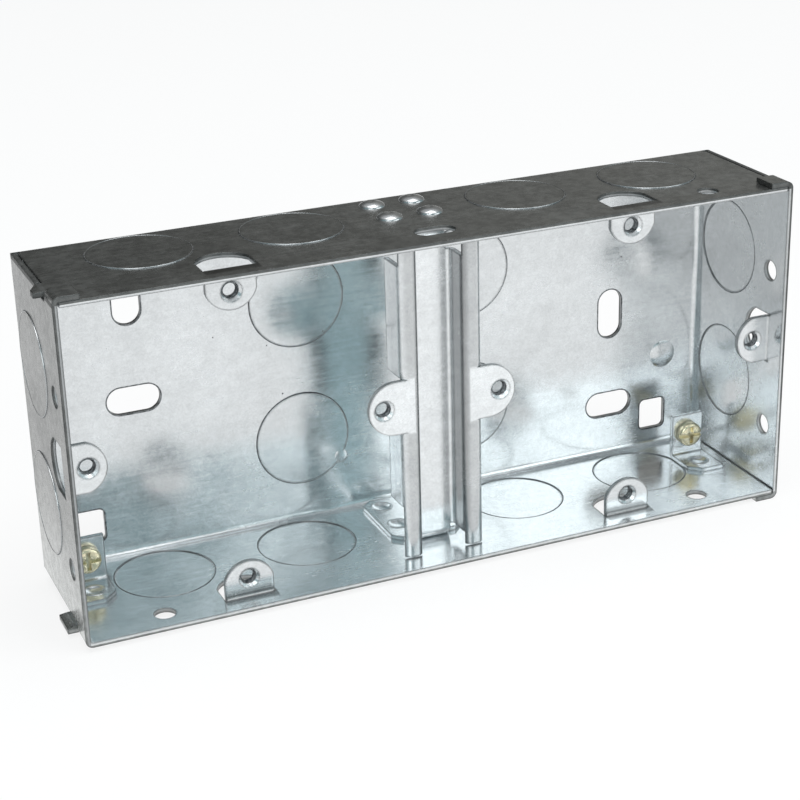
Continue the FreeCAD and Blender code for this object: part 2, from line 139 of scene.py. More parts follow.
# Pressed details: (radius, height above the sheet) from the edge to the axis
ON_AXIS = 0.001
BUTTON = [(2.75, -0.1), (2.68, 0.16), (2.45, 0.42), (2.1, 0.62), (1.6, 0.82), (1.1, 0.95), (0.7, 0.98),
          (0.4, 0.92), (ON_AXIS, 0.85)]
BUTTON_STEPS = 36
CUP = [(2.5, -0.05), (2.45, 0.06), (2.25, 0.14), (2.0, 0.1), (1.8, -0.05), (1.5, -0.3), (1.0, -0.45),
       (0.5, -0.5), (ON_AXIS, -0.5)]
CUP_STEPS = 36
PIP = [(3.3, -0.05), (3.0, 0.1), (2.4, 0.24), (1.8, 0.35), (1.0, 0.46), (0.4, 0.5), (ON_AXIS, 0.5)]
PIP_STEPS = 40
TIE_LUMP = [(1.7, -0.05), (1.6, 0.1), (1.3, 0.2), (0.8, 0.27), (ON_AXIS, 0.3)]
TIE_STEPS = 28

# Threads and terminal screws
THREAD_STEPS = 28        # steps of a turn
THREAD_FOOT = 0.42       # half width of a thread's foot against its pitch
THREAD_SINK = 0.01       # how far that foot is sunk into its wall
LUG_THREAD_PITCH = 0.6
LUG_THREAD_HIGH = 0.22
SCREW_CORE = 1.6
SCREW_CREST = 1.93
SCREW_PITCH = 0.7
SCREW_STEPS = 48
SCREW_WELD = 0.003
SCREW_THREAD_AHEAD = 0.4   # head to the thread's start
SCREW_THREAD_SHORT = 0.9   # how much shorter the thread is than the shank
SCREW_POINT = 0.45       # length of the eased end of the shank
SCREW_POINT_IN = 0.5
HEAD_HIGH = 2.0
HEAD_EASE = 0.12         # eased lower corner of the head
HEAD_CROWN = [(0.5, 0.02), (0.78, 0.08), (0.9, 0.2), (0.97, 0.42), (1.0, 0.7)]   # share of its radius, depth
SLIT_WIDE = 0.8
SLIT_DEEP = 0.9
SLIT_LONG = 3.0          # of the slot against the head's radius
CROSS_LONG = 1.4         # and of the slot across it
CUT_AHEAD = 1.0          # how far a cutter begins in front of the head

# Zinc sheet: noises given by scale per millimetre, detail and roughness
NOISE_CORE = (0.3, 0.7)  # range that most of a noise lies in
WANDER_SCALE = 0.8
WANDER_DETAIL = 2.0
WANDER_SHARE = 0.3
GRAIN_SCALE = 1.1
STREAK_STRETCH = (0.03, 0.8, 0.8)
STREAKS = (1.4, 4.0, 0.65)
PATCHES = (0.06, 5.0, 0.6)
WAVES = (0.045, 1.0, 0.4)
FINE = (2.6, 4.0, 0.65)
MOTTLE = (0.5, 5.0, 0.7)
SPECK_SCALE = 0.11
SPECK_RARE = 0.6         # share of the places that stay without a speck
SPECK_SIZE = 0.03
SPECK_SHARE = 0.75
SPECK_COLOUR = (0.16, 0.155, 0.15)
ZINC_METAL = 0.9
BODY_CUT = (0, 0, 0)     # where in the pattern each sheet was cut
BRACKET_CUT = (57, 3, 43)
DIVIDER_CUT = (31, 17, 5)

# Shade of the zinc, against the sheet's mean colour
GRAIN_SHADE = 0.015
STREAK_SHADE = 0.02
FINE_SHADE = 0.05
PATCH_SHADE = (0.93, 1.04)
INSIDE_LIGHT = 1.05      # painted light on the inside of the sheet
INSIDE_MOTTLE = 0.05
OUTSIDE_SHADE_LOW = 0.80       # painted shade of the outside at the bottom
OUTSIDE_SHADE_HIGH = 0.38      # and from mid height up
HANDLED_MOTTLE = 0.26
LEFT_SHADE = 0.66        # painted shade of the upper outside of the left end against the other outsides
LEFT_FACING = (-0.5, -0.9)   # share of the normal to the right
TORN_SHADE = 0.55
DIVIDER_LIGHT = 1.06     # painted light: the divider's sheet is lightened by this
LIP_SHADE = 0.62         # painted shade: darker zinc for knockout lips and clinch buttons
HANDLED_TINT = (1.0, 0.995, 0.965)
REAR_TINT = (0.79, 0.98, 1.0)    # bluish tint on the divider's rear faces
REAR_FACING = (0.2, 0.6)   # share of the normal to the rear

# Roughness of the zinc
PATCH_ROUGH = (0.15, 0.25)
GRAIN_ROUGH = (-0.01, 0.02)
STREAK_ROUGH = (-0.03, 0.04)
HANDLED_ROUGH = 0.05
TORN_ROUGH = 0.25
SPECK_ROUGH = 0.3

# Relief of the zinc
WAVE_RELIEF = 0.12
GRAIN_RELIEF = 0.0006
STREAK_RELIEF = 0.0008
FINE_RELIEF = 0.0008
MOTTLE_RELIEF = 0.003
BOW = 0.04               # slope that the press left in the upright faces

# Worn places and painted shade of the sheet; a pair of lengths is where a mark begins and where it is full
SKIN = 0.03              # tolerance of the places below
STEEP = 0.3              # a face is an edge if its normal has less than this along the sheet's own
FRACTURE = 0.45          # torn outer part of a sheared rim
EDGE_ROUND = 0.6         # rolled edges of the sheet
EDGE_SAMPLES = 4
EDGE_TURN = (0.995, 0.90)  # cosine of the turn of an edge
EDGE_DARK = 0.85         # painted shade: how much such an edge darkens
EDGE_COLOUR = (0.08, 0.085, 0.085)
RIGHT_SHADE_UP = (-4.0, 12.0)   # painted shade on the upper inside of the right wall
RIGHT_SHADE_REACH = 0.1         # how far in front of that wall it still lies
RIGHT_SHADE_LEVEL = 0.76
LUG_SHADE_HALF = (5.8, 5.2)   # painted shade in front of the lugs, from the lug's middle
LUG_SHADE_HIGH = (32.9, 33.6)
LUG_SHADE_FRONT = (-33.4, -31.6)
LUG_SHADE_BACK = (-29.6, -29.9)
LUG_SHADE_LEVEL = 0.4
RIDGE_INNER = (3.9, 4.6)   # painted shade on the divider's ridges, from the middle
RIDGE_OUTER = (9.4, 8.6)
RIDGE_BACK = (-24.0, -25.5)
RIDGE_LUG = (5.4, 6.4)   # from mid height; the lugs interrupt the ridges nearer to it
RIDGE_INWARD = (-0.1, -0.4)   # facing the other ridge, where the lugs don't interrupt
RIDGE_FLANK = (-0.8, -0.1, 0.42, 0.68)   # facing inward and ahead, and the shades there
RIDGE_OUTWARD = (0.1, 0.8, 0.0, 0.2)     # facing ahead and outward, and what is added there

# Torn zinc and brass
TORN_DARK = (0.09, 0.095, 0.10)
TORN_LIGHT = (0.30, 0.31, 0.32)
TORN_NOISE = (1.5, 3.0)
TORN_CORE = (0.35, 0.65)
TORN_GLOSS = (0.35, 0.6)
BRASS = (0.80, 0.73, 0.52)
BRASS_DULL = 0.62        # dull patches against that colour
BRASS_PATCHES = (0.5, 4.0, 0.6)
BRASS_CORE = (0.35, 0.7)
BRASS_GLOSS = (0.2, 0.42)
BRASS_FINE = (5.0, 2.0)
BRASS_RELIEF = 0.01

# Studio, in metres, and radiance where white is 1
WHITE = (1, 1, 1)
FLOOR_RADIUS = 6.0
FLOOR_STEPS = 96
FLOOR_COLOUR = (0.90, 0.90, 0.90)
FLOOR_LIFT = 0.8         # share of plain white in the floor as the eye and the metal see it
FRONT_SKY = (0.29, 0.42, 0.45)
BACK_SKY = (0.070, 0.071, 0.066)
BACK_SKY_RIGHT = (0.24, 0.24, 0.226)
TOP_SKY = (0.75, 0.76, 0.77)
SKY_RIGHT = (0.15, 0.55)   # where each part of the sky begins and is full, along its axis
SKY_BACK = (-0.3, 0.4)
SKY_TOP = (0.55, 0.95)
SKY_HORIZON = (0.0, 0.05)
GLOSSY_BOUNCES = 8

# Softboxes: azimuth and elevation in degrees, distance, width and height in metres, radiance
SOFTBOXES = {
    "overhead": (20, 80, 1.2, 1.1, 1.1, 2.6),
    "right_box": (40, 20, 1.0, 0.74, 0.44, 2.0),
    "left_box": (-32, 22, 1.0, 0.56, 0.50, 2.4),
}


def value_of(slot):
    """Base colour that the record gives to a material slot."""
    return next(m["base_color"] for m in record["materials"] if m["slot"] == slot)


def scaled(colour, factor):
    return [factor * part for part in colour]


class Nodes:
    """Short way to write a node tree."""

    def __init__(self, tree):
        self.tree = tree
        tree.nodes.clear()

    def add(self, kind, settings=None, **inputs):
        node = self.tree.nodes.new(kind)
        for name, value in (settings or {}).items():
            setattr(node, name, value)
        for name, value in inputs.items():
            self.put(node.inputs[name.replace("_", " ")], value)
        return node

    def put(self, socket, value):
        if isinstance(value, bpy.types.NodeSocket):
            self.tree.links.new(value, socket)
        elif hasattr(value, "__len__") and socket.type == "RGBA":
            socket.default_value = (*value, 1.0)
        else:
            socket.default_value = value

    def math(self, operation, a, b=0.0, clamp=False):
        node = self.tree.nodes.new("ShaderNodeMath")
        node.operation = operation
        node.use_clamp = clamp
        self.put(node.inputs[0], a)
        self.put(node.inputs[1], b)
        return node.outputs[0]

    def chain(self, operation, values):
        """One operation on several values, from left to right."""
        found = values[0]
        for value in values[1:]:
            found = self.math(operation, found, value)
        return found

    def product(self, *values):
        return self.chain("MULTIPLY", values)

    def total(self, *values):
        return self.chain("ADD", values)

    def most(self, *values):
        return self.chain("MAXIMUM", values)

    def over(self, value, limit):
        """1 where a length is over a limit in millimetres."""
        return self.math("GREATER_THAN", value, limit * MM)

    def under(self, value, limit):
        """1 where a length is under a limit in millimetres."""
        return self.math("LESS_THAN", value, limit * MM)

    def between(self, value, low, high):
        """1 where a length lies between two limits in millimetres."""
        return self.product(self.over(value, low), self.under(value, high))

    def size(self, value):
        """Value without its sign."""
        return self.math("ABSOLUTE", value)

    def ramp(self, value, low, high, out_low=0.0, out_high=1.0):
        """Smooth step of a value between two limits."""
        node = self.add("ShaderNodeMapRange", {"interpolation_type": "SMOOTHSTEP"})
        for socket, given in zip(node.inputs, (value, low, high, out_low, out_high)):
            self.put(socket, given)
        return node.outputs[0]

    def along(self, value, limits):
        """Smooth step of a length between two limits in millimetres."""
        return self.ramp(value, limits[0] * MM, limits[1] * MM)

    def pick(self, share, plain, marked):
        """From the plain value, where the share is 0, to the marked one, where it is 1."""
        return self.ramp(share, 0, 1, plain, marked)

    def swing(self, noise, reach, middle=0.0):
        """Noise as a value that moves by reach to both sides of a middle."""
        return self.ramp(noise, *NOISE_CORE, middle - reach, middle + reach)

    def mix(self, share, a, b, blend="MIX"):
        node = self.add("ShaderNodeMix", {"data_type": "RGBA", "blend_type": blend})
        self.put(node.inputs[0], share)
        self.put(node.inputs[6], a)
        self.put(node.inputs[7], b)
        return node.outputs[2]

    def tinted(self, share, colour, tint):
        """Colour with a tint laid over a share of it."""
        return self.mix(share, colour, self.mix(1.0, colour, tint, "MULTIPLY"))

    def noise(self, where, scale, detail=2.0, rough=0.5):
        node = self.add("ShaderNodeTexNoise", Vector=where, Scale=scale, Detail=detail, Roughness=rough)
        return node.outputs["Fac"]

    def place(self):
        return self.add("ShaderNodeTexCoord").outputs["Object"]

    def stretched(self, where, scale, shift=(0, 0, 0)):
        node = self.add("ShaderNodeMapping", Vector=where)
        node.inputs["Scale"].default_value = scale
        node.inputs["Location"].default_value = shift
        return node.outputs[0]

    def in_mm(self, where, shift=(0, 0, 0)):
        return self.stretched(where, (1 / MM,) * 3, shift)

    def axes(self, vector):
        return self.add("ShaderNodeSeparateXYZ", Vector=vector).outputs

    def metal(self, colour, metallic, rough, normal=None):
        """Ends the tree with a metal surface."""
        shader = self.add("ShaderNodeBsdfPrincipled", Base_Color=colour, Metallic=metallic, Roughness=rough)
        if normal:
            self.put(shader.inputs["Normal"], normal)
        self.add("ShaderNodeOutputMaterial", Surface=shader.outputs[0])


def new_material(name):
    """Empty material, and the writer of its node tree."""
    material = bpy.data.materials.new(name)
    material.use_nodes = True
    return material, Nodes(material.node_tree)


def outside(n, axes):
    """1 on the outside of the walls and the back, which is rougher and painted darker, 0 inside the box."""
    wide = n.over(n.size(axes["X"]), HALF_WIDE - SHEET / 2)
    high = n.over(n.size(axes["Z"]), HALF_HIGH - SHEET / 2)
    deep = n.over(axes["Y"], -SHEET / 2)
    return n.most(wide, n.most(high, deep))


def cut_edges(n, axes):
    """1 on the sheared edges of holes, lugs and the rim's outer part, 0 on the faces of the sheet."""
    facing = n.axes(n.add("ShaderNodeNewGeometry").outputs["True Normal"])
    steep = {axis: n.math("LESS_THAN", n.size(facing[axis]), STEEP) for axis in "XYZ"}
    wide, high = n.size(axes["X"]), n.size(axes["Z"])
    in_end = n.between(wide, HALF_WIDE - SHEET + SKIN, HALF_WIDE - SKIN)
    in_long = n.between(high, HALF_HIGH - SHEET + SKIN, HALF_HIGH - SKIN)
    in_back = n.between(axes["Y"], SKIN - SHEET, -SKIN)
    in_lug = n.product(n.between(axes["Y"], LUG_FACE + SKIN, LUG_FACE + SHEET - SKIN),
                       n.under(wide, HALF_WIDE - SHEET - SKIN), n.under(high, HALF_HIGH - SHEET - SKIN))
    found = 0.0
    for sheet, axis in ((in_end, "X"), (in_long, "Z"), (in_back, "Y"), (in_lug, "Y")):
        found = n.most(found, n.product(sheet, steep[axis]))
    on_rim = n.under(axes["Y"], RIM + SKIN)
    outer = n.most(n.over(wide, HALF_WIDE - FRACTURE), n.over(high, HALF_HIGH - FRACTURE))
    left = n.under(axes["X"], SHEET - HALF_WIDE)
    torn = n.most(outer, left)
    behind = n.product(found, n.math("SUBTRACT", 1.0, on_rim))
    return n.most(behind, n.product(on_rim, torn))


def right_wall_painted_shade(n, axes):
    """1 where shade is painted on the upper inside of the right wall."""
    inner = n.between(axes["X"], HALF_WIDE - SHEET - RIGHT_SHADE_REACH, HALF_WIDE - SHEET / 2)
    return n.product(inner, n.along(axes["Z"], RIGHT_SHADE_UP))


def lug_painted_shade(n, axes):
    """1 where shade is painted on the long walls' inner faces in front of their lugs."""
    wide, high = n.size(axes["X"]), n.size(axes["Z"])
    off_gang = n.size(n.math("SUBTRACT", wide, HALF_PITCH * MM))
    on_long = n.product(n.along(off_gang, LUG_SHADE_HALF), n.along(high, LUG_SHADE_HIGH))
    ahead = n.product(n.along(axes["Y"], LUG_SHADE_FRONT), n.along(axes["Y"], LUG_SHADE_BACK))
    return n.product(ahead, on_long)


def ridge_painted_shade(n, axes, facing):
    """Painted shade on the fronts of the divider's two ridges, darkest on the flanks that face each other.
    """
    side = n.size(axes["X"])
    across = n.product(n.along(side, RIDGE_INNER), n.along(side, RIDGE_OUTER))
    across = n.product(across, n.along(axes["Y"], RIDGE_BACK))
    outward = n.product(facing["X"], n.math("SIGN", axes["X"]))
    off_lug = n.along(n.size(axes["Z"]), RIDGE_LUG)
    across = n.product(across, n.most(off_lug, n.ramp(outward, *RIDGE_INWARD)))
    flank = n.total(n.ramp(outward, *RIDGE_FLANK), n.ramp(outward, *RIDGE_OUTWARD))
    return n.pick(across, 1.0, flank)


def zinc_marks(n, spot):
    """Patterns of galvanised sheet by name, each from 0 to 1."""
    wander = n.add("ShaderNodeTexNoise", Vector=spot, Scale=WANDER_SCALE, Detail=WANDER_DETAIL)
    bent = n.mix(WANDER_SHARE, spot, wander.outputs["Color"], "ADD")
    cells = n.add("ShaderNodeTexVoronoi", Vector=bent, Scale=GRAIN_SCALE)
    dots = n.add("ShaderNodeTexVoronoi", Vector=bent, Scale=SPECK_SCALE)
    lot = n.add("ShaderNodeSeparateColor", Color=dots.outputs["Color"]).outputs[1]
    size = n.ramp(lot, SPECK_RARE, 1.0, 0.0, SPECK_SIZE)
    return {
        "grain": n.add("ShaderNodeSeparateColor", Color=cells.outputs["Color"]).outputs[0],
        "streaks": n.noise(n.stretched(spot, STREAK_STRETCH), *STREAKS),
        "patches": n.noise(spot, *PATCHES),
        "waves": n.noise(spot, *WAVES),
        "fine": n.noise(spot, *FINE),
        "mottle": n.noise(spot, *MOTTLE),
        "specks": n.math("LESS_THAN", dots.outputs["Distance"], size),
    }


def outside_painted_shade(n, marks, axes, facing):
    """Painted shade of the outside, which is darker from mid height up and darkest on the left end, with a
    mottle.
    """
    to_middle = (axes["Z"], -HALF_HIGH * MM, 0.0)
    upward = n.ramp(*to_middle, OUTSIDE_SHADE_LOW, OUTSIDE_SHADE_HIGH)
    mottled_shade = n.product(upward, n.swing(marks["mottle"], HANDLED_MOTTLE, 1.0))
    left = n.ramp(*to_middle, 1.0, LEFT_SHADE)
    return n.product(mottled_shade, n.ramp(facing["X"], *LEFT_FACING, 1.0, left))


def zinc_rough(n, marks, dull, torn):
    """Roughness of the sheet from its marks, its rougher outside and its torn edges."""
    rough = n.total(n.ramp(marks["patches"], *NOISE_CORE, *PATCH_ROUGH),
                    n.pick(marks["grain"], *GRAIN_ROUGH),
                    n.ramp(marks["streaks"], *NOISE_CORE, *STREAK_ROUGH),
                    n.product(dull, HANDLED_ROUGH), n.product(torn, TORN_ROUGH))
    return n.math("ADD", rough, n.product(marks["specks"], SPECK_ROUGH), True)


def zinc_relief(n, marks, axes):
    """Bump of the sheet: waves and fine marks, and the bow that the press left."""
    height = n.total(n.product(marks["waves"], WAVE_RELIEF), n.product(marks["grain"], GRAIN_RELIEF),
                     n.product(marks["streaks"], STREAK_RELIEF), n.product(marks["fine"], FINE_RELIEF),
                     n.product(marks["mottle"], MOTTLE_RELIEF), n.product(axes["Z"], BOW / MM))
    return n.add("ShaderNodeBump", Height=height, Distance=MM, Strength=1.0)


def zinc(name, colour, cut, ridged=False, worn_and_shaded=True):
    """Galvanised sheet: zinc spangle, rolling streaks, dull patches, handling marks and dark specks, with
    painted light and shade.
    """
    material, n = new_material(name)
    place = n.place()
    axes = n.axes(place)
    marks = zinc_marks(n, n.in_mm(place, cut))
    normal = n.add("ShaderNodeNewGeometry").outputs["Normal"]
    facing = n.axes(normal)
    # The outside is rougher, and painted shade darkens it as well.
    dull = outside(n, axes) if worn_and_shaded else 0.0
    torn = cut_edges(n, axes)

    shade = n.total(n.pick(marks["grain"], -GRAIN_SHADE, GRAIN_SHADE),
                    n.swing(marks["streaks"], STREAK_SHADE), n.swing(marks["fine"], FINE_SHADE),
                    n.ramp(marks["patches"], *NOISE_CORE, *PATCH_SHADE))
    # Painted light: the inside of the sheet is lightened by INSIDE_LIGHT.
    inside_painted_light = n.swing(marks["mottle"], INSIDE_MOTTLE, INSIDE_LIGHT)
    shade = n.product(shade, n.pick(dull, inside_painted_light, outside_painted_shade(n, marks, axes, facing)))
    if ridged:
        # Painted shade on the divider's ridges.
        shade = n.product(shade, ridge_painted_shade(n, axes, facing))
    if worn_and_shaded:
        # Painted shade in front of the lugs and on the upper inside of the right wall.
        shade = n.product(shade, n.pick(lug_painted_shade(n, axes), 1.0, LUG_SHADE_LEVEL),
                          n.pick(right_wall_painted_shade(n, axes), 1.0, RIGHT_SHADE_LEVEL))
    shade = n.product(shade, n.pick(torn, 1.0, TORN_SHADE))
    grey = n.add("ShaderNodeCombineColor", Red=shade, Green=shade, Blue=shade).outputs[0]
    tint = n.mix(1.0, colour, grey, "MULTIPLY")
    tint = n.tinted(dull, tint, HANDLED_TINT)
    if ridged:
        tint = n.tinted(n.ramp(facing["Y"], *REAR_FACING), tint, REAR_TINT)
    tint = n.mix(n.product(marks["specks"], SPECK_SHARE), tint, SPECK_COLOUR)

    bump = zinc_relief(n, marks, axes)
    if worn_and_shaded:
        rolled = n.add("ShaderNodeBevel", {"samples": EDGE_SAMPLES}, Radius=EDGE_ROUND * MM).outputs[0]
        n.put(bump.inputs["Normal"], rolled)
        turned = n.add("ShaderNodeVectorMath", {"operation": "DOT_PRODUCT"})
        n.put(turned.inputs[0], rolled)
        n.put(turned.inputs[1], normal)
        # The bevel rounds the shading of each edge; the colour there is also darkened, which is painted
        # shade.
        edge = n.ramp(turned.outputs["Value"], *EDGE_TURN, 0.0, EDGE_DARK)
        tint = n.mix(edge, tint, EDGE_COLOUR)
    n.metal(tint, ZINC_METAL, zinc_rough(n, marks, dull, torn), bump.outputs[0])
    return material


def sheared(name):
    """Dull torn metal in the sheared line round a knockout."""
    material, n = new_material(name)
    marks = n.noise(n.in_mm(n.place()), *TORN_NOISE)
    tint = n.mix(n.ramp(marks, *TORN_CORE), TORN_DARK, TORN_LIGHT)
    n.metal(tint, 1.0, n.pick(marks, *TORN_GLOSS))
    return material


def brass(name, colour):
    """Plated brass with dull patches and turning marks."""
    material, n = new_material(name)
    spot = n.in_mm(n.place())
    patches = n.noise(spot, *BRASS_PATCHES)
    tint = n.mix(n.ramp(patches, *BRASS_CORE), colour, scaled(colour, BRASS_DULL))
    rough = n.ramp(patches, *NOISE_CORE, *BRASS_GLOSS)
    height = n.product(n.noise(spot, *BRASS_FINE), BRASS_RELIEF)
    bump = n.add("ShaderNodeBump", Height=height, Distance=MM, Strength=1.0)
    n.metal(tint, 1.0, rough, bump.outputs[0])
    return material


def turning(axis):
    """Direction of an axis, and a function from a turn in radians to the direction out of it."""
    up = Vector(axis).normalized()
    across = up.orthogonal().normalized()
    along = up.cross(across)
    return up, lambda turn: across * math.cos(turn) + along * math.sin(turn)


def bridge(form, rings, material=0):
    """Faces between closed rings of points that follow each other."""
    made = []
    for a, b in zip(rings, rings[1:]):
        for i in range(len(a)):
            j = (i + 1) % len(a)
            made.append(form.faces.new((a[i], a[j], b[j], b[i])))
            made[-1].material_index = material
    return made


def lathe(form, profile, place, axis, steps, material=0):
    """Turns a profile of (radius, height along axis) points, in millimetres, round an axis."""
    up, out = turning(axis)
    turns = [2 * math.pi * step / steps for step in range(steps)]
    rings = []
    for radius, high in profile:
        middle = Vector(place) + up * high
        rings.append([form.verts.new((middle + out(turn) * radius) * MM) for turn in turns])
    for face in bridge(form, rings, material):
        face.smooth = True


def helix(form, start, axis, root, tip, pitch, length):
    """Thread ridge: a triangle swept up a helix, from the radius root to the radius tip."""
    up, out = turning(axis)
    count = int(length / pitch * THREAD_STEPS)
    rows = []
    for step in range(count + 1):
        away = out(2 * math.pi * step / THREAD_STEPS)
        middle = Vector(start) + up * (pitch * step / THREAD_STEPS)
        fade = min(1.0, step / THREAD_STEPS, (count - step) / THREAD_STEPS)
        crest = root + (tip - root) * fade
        points = [(root, -THREAD_FOOT), (crest, 0.0), (root, THREAD_FOOT)]
        rows.append([form.verts.new((middle + up * (pitch * h) + away * r) * MM) for r, h in points])
    for a, b in zip(rows, rows[1:]):
        for i, j in ((0, 1), (1, 2), (2, 0)):
            face = form.faces.new((a[i], a[j], b[j], b[i]))
            face.smooth = i != 2
    form.faces.new(rows[0])
    form.faces.new(reversed(rows[-1]))


def piece(name, form, materials):
    """Makes an object of a finished mesh and lets it ride on the box."""
    bmesh.ops.recalc_face_normals(form, faces=form.faces)
    mesh = bpy.data.meshes.new(name)
    form.to_mesh(mesh)
    form.free()
    for material in materials:
        mesh.materials.append(material)
    made = bpy.data.objects.new(name, mesh)
    bpy.context.scene.collection.objects.link(made)
    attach(made, "root")
    return made


def pressings(name, profile, spots, steps, material):
    """One piece of turned details, each given by its place and axis."""
    form = bmesh.new()
    for place, axis in spots:
        lathe(form, profile, place, axis, steps)
    piece(name, form, [material])


def seam_ring(form, centre, out, rise):
    """Sheared edge of a knockout on one face: a lip and a dark line beside it, closed below the face."""
    crest = rise + BURR * BURR_CREST
    lip = [(KO_RADIUS - BURR, -BURR), (KO_RADIUS - BURR, rise), (KO_RADIUS - BURR / 2, crest),
           (KO_RADIUS + BURR / 2, crest), (KO_RADIUS + BURR, rise), (KO_RADIUS + BURR, -BURR)]
    lathe(form, lip, centre, out, RING_STEPS, 0)
    inner, outer = KO_RADIUS + BURR, KO_RADIUS + BURR + SEAM_WIDE
    line = [(inner, -BURR), (inner, SEAM_LIFT), (outer, SEAM_LIFT), (outer, -BURR)]
    lathe(form, line, centre, out, RING_STEPS, 1)


def knockout_seams(lip, line):
    """Rings on both faces of every knockout; a rise is how far the disc stands out there."""
    deep = -KO_FROM_BACK
    walls = {
        "top": [((x, deep, HALF_HIGH), UP) for x in LONG_KNOCKOUTS],
        "bottom": [((x, deep, -HALF_HIGH), DOWN) for x in LONG_KNOCKOUTS],
        "left": [((-HALF_WIDE, deep, z), LEFT) for z in KO_END],
        "right": [((HALF_WIDE, deep, z), RIGHT) for z in KO_END],
        "back": [((x, 0.0, z), REAR) for x, z in BACK_KNOCKOUTS],
    }
    outside_rise = {"top": KO_STEP, "left": KO_STEP}
    inside_rise = {"back": KO_STEP}
    for wall, places in walls.items():
        form = bmesh.new()
        for centre, out in places:
            out = Vector(out)
            seam_ring(form, Vector(centre), out, outside_rise.get(wall, 0.0))
            seam_ring(form, Vector(centre) - out * SHEET, -out, inside_rise.get(wall, 0.0))
        piece(f"knockout_seams_{wall}", form, [lip, line])


def back_holes():
    """Slots, then ports, of the back: place across and up, half sizes and corner radius."""
    half_long, half_wide = SLOT_LONG / 2, SLOT_WIDE / 2
    slots, ports = [], []
    # Each gang has an upright slot above a level one, and the left pair is set higher.
    for side, upper in ((-1, SLOT_DROP), (1, 0.0)):
        slot = BACK_SHIFT + side * (HALF_PITCH + SLOT_OUTWARD)
        slots.append((slot, upper, half_wide, half_long, half_wide))
        slots.append((slot, upper - SLOT_DROP, half_long, half_wide, half_wide))
        port = BACK_SHIFT + side * (HALF_WIDE - PORT_FROM_END)
        ports.append((port, PORT_UP - HALF_HIGH, PORT_WIDE / 2, PORT_HIGH / 2, PORT_CORNER))
    return slots + ports


def rounded(x, z, wide, high, corner):
    """Outline of a rounded rectangle, given by half sizes, as points across and up the box."""
    points = []
    for quarter, (sx, sz) in enumerate(((1, 1), (-1, 1), (-1, -1), (1, -1))):
        for step in range(CORNER_STEPS + 1):
            turn = math.pi / 2 * (quarter + step / CORNER_STEPS)
            points.append((x + sx * (wide - corner) + corner * math.cos(turn),
                           z + sz * (high - corner) + corner * math.sin(turn)))
    return points


def slot_lines(material):
    """Dark line round each slot and port on the inside of the back."""
    form = bmesh.new()
    for x, z, wide, high, corner in back_holes():
        rings = []
        for grow, rise in ((0.0, -BURR), (0.0, SLOT_LIFT), (SLOT_LINE, SLOT_LIFT), (SLOT_LINE, -BURR)):
            outline = rounded(x, z, wide + grow, high + grow, corner + grow)
            rings.append([form.verts.new(Vector((px, -SHEET - rise, pz)) * MM) for px, pz in outline])
        bridge(form, rings)
    bmesh.ops.remove_doubles(form, verts=form.verts, dist=SLOT_WELD * MM)
    piece("slot_lines", form, [material])


def lug_threads(material):
    """Thread turns in the tapped holes of the eight lugs."""
    form = bmesh.new()
    root, tip = LUG_BORE + THREAD_SINK, LUG_BORE - LUG_THREAD_HIGH
    for mount in record["mounts"]:
        if mount["kind"] != "bolt_pattern":
            continue
        reach = mount["dims"]["pcd_mm"] / 2
        x, _, z = (v / MM for v in mount["pos_m"])
        for dx, dz in ((reach, 0), (-reach, 0), (0, reach), (0, -reach)):
            start = (x + dx, LUG_FACE + LUG_MOUTH, z + dz)
            helix(form, start, REAR, root, tip, LUG_THREAD_PITCH, LUG_THROUGH - LUG_MOUTH)
    piece("lug_threads", form, [material])


def clinch_buttons(material):
    """Rounded buttons that the clinches leave outside the long walls."""
    spots = [((x, y, HALF_HIGH), UP) for x, y in CLINCHES]
    spots += [((x, y, -HALF_HIGH), DOWN) for x, y in CLINCHES + EARTH_CLINCHES]
    pressings("clinch_buttons", BUTTON, spots, BUTTON_STEPS, material)


def clinch_cups(divider, bracket):
    """Hollows with a raised lip that the clinches leave in the feet of the divider and the brackets."""
    foot = HALF_HIGH - 2 * SHEET
    spots = [((x, y, -foot), UP) for x, y in CLINCHES] + [((x, y, foot), DOWN) for x, y in CLINCHES]
    pressings("divider_cups", CUP, spots, CUP_STEPS, divider)
    spots = [((x, y, -foot), UP) for x, y in EARTH_CLINCHES]
    pressings("bracket_cups", CUP, spots, CUP_STEPS, bracket)


def back_pressings(material):
    """Smooth pip pressed out of the back panel, and the tie that holds one of its knockouts."""
    pressings("back_dimple", PIP, [(DIMPLE, FRONT)], PIP_STEPS, material)
    pressings("knockout_tie", TIE_LUMP, [(TIE, FRONT)], TIE_STEPS, material)


def cut_away(target, boxes):
    """Cuts boxes, given by centre and size in millimetres, out of an object's mesh."""
    for centre, size in boxes:
        form = bmesh.new()
        bmesh.ops.create_cube(form, size=1.0)
        for vert in form.verts:
            vert.co = Vector(c + s * v for c, s, v in zip(centre, size, vert.co)) * MM
        mesh = bpy.data.meshes.new("cutter")
        form.to_mesh(mesh)
        form.free()
        cutter = bpy.data.objects.new("cutter", mesh)
        bpy.context.scene.collection.objects.link(cutter)
        step = target.modifiers.new("recess", "BOOLEAN")
        step.object, step.operation, step.solver = cutter, "DIFFERENCE", "EXACT"
        bpy.context.view_layer.update()
        graph = bpy.context.evaluated_depsgraph_get()
        cut = bpy.data.meshes.new_from_object(target.evaluated_get(graph))
        target.modifiers.clear()
        target.data = cut
        bpy.data.objects.remove(cutter)


